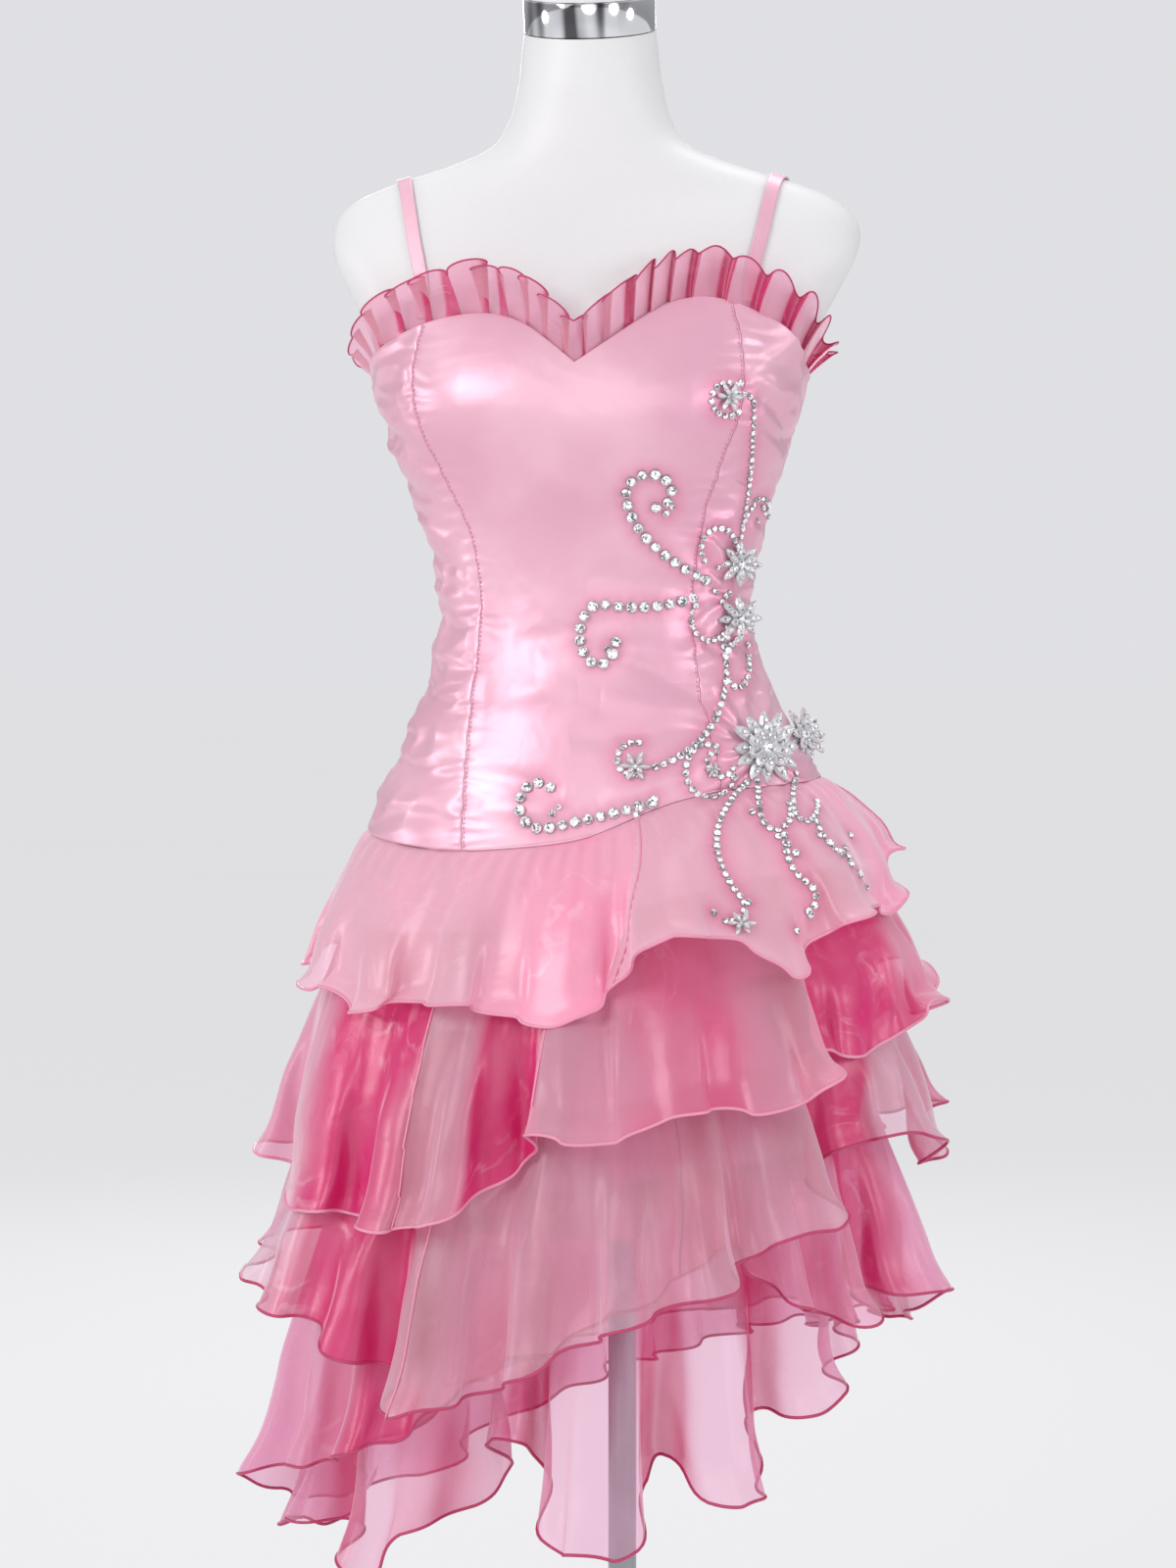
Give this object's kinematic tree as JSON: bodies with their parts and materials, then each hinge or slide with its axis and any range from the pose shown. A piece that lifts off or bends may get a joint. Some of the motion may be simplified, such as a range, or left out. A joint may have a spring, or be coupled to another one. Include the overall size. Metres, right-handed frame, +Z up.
{
  "type": "prom dress on dress form stand",
  "caption": "Short pink satin prom dress with a gathered neck ruffle and wavy organza flounces, on a white limbless dress form with a pole and round base.",
  "frame": {"origin": "centre of the round base's underside, on the pole's axis, on the floor", "axes": "+Z up along the pole; the dress's front faces -Y; +X is the viewer's right when facing the front"},
  "size_m": [0.5524, 0.5231, 1.5178],
  "materials": {
    "satin": "satin weave, soft sheen",
    "organza": "sheer, crisp, rolled edge",
    "white_shell": "smooth, semi-matt",
    "chrome": "chrome plated",
    "steel": "brushed",
    "set_stones": "clear cut stones in silvery settings"
  },
  "bodies": {
    "root": {"base_plate": "steel", "bodice_back_left": "satin", "bodice_back_right": "satin", "bodice_front_centre": "satin", "bodice_side_front_left": "satin", "bodice_side_front_right": "satin", "brooch_hip": "set_stones", "brooch_side": "set_stones", "brooch_waist_lower": "set_stones", "brooch_waist_upper": "set_stones", "flounce_1_back_left": "organza", "flounce_1_back_right": "organza", "flounce_1_front_left": "organza", "flounce_1_front_right": "organza", "flounce_2_back_left": "organza", "flounce_2_back_right": "organza", "flounce_2_front_left": "organza", "flounce_2_front_right": "organza", "flounce_3_back_left": "organza", "flounce_3_back_right": "organza", "flounce_3_front_left": "organza", "flounce_3_front_right": "organza", "flounce_4_back_left": "organza", "flounce_4_back_right": "organza", "flounce_4_front_left": "organza", "flounce_4_front_right": "organza", "flounce_5_back_left": "organza", "flounce_5_back_right": "organza", "flounce_5_front_left": "organza", "flounce_5_front_right": "organza", "form_torso": "white_shell", "foundation_back_left": "satin", "foundation_back_right": "satin", "foundation_front_left": "satin", "foundation_front_right": "satin", "neck_cap": "white_shell", "neck_ring": "chrome", "neck_ruffle_back_left": "organza", "neck_ruffle_back_right": "organza", "neck_ruffle_front_left": "organza", "neck_ruffle_front_right": "organza", "pole": "steel", "rosette_bust": "set_stones", "rosette_front": "set_stones", "strap_left": "satin", "strap_right": "satin"}
  },
  "joints": []
}
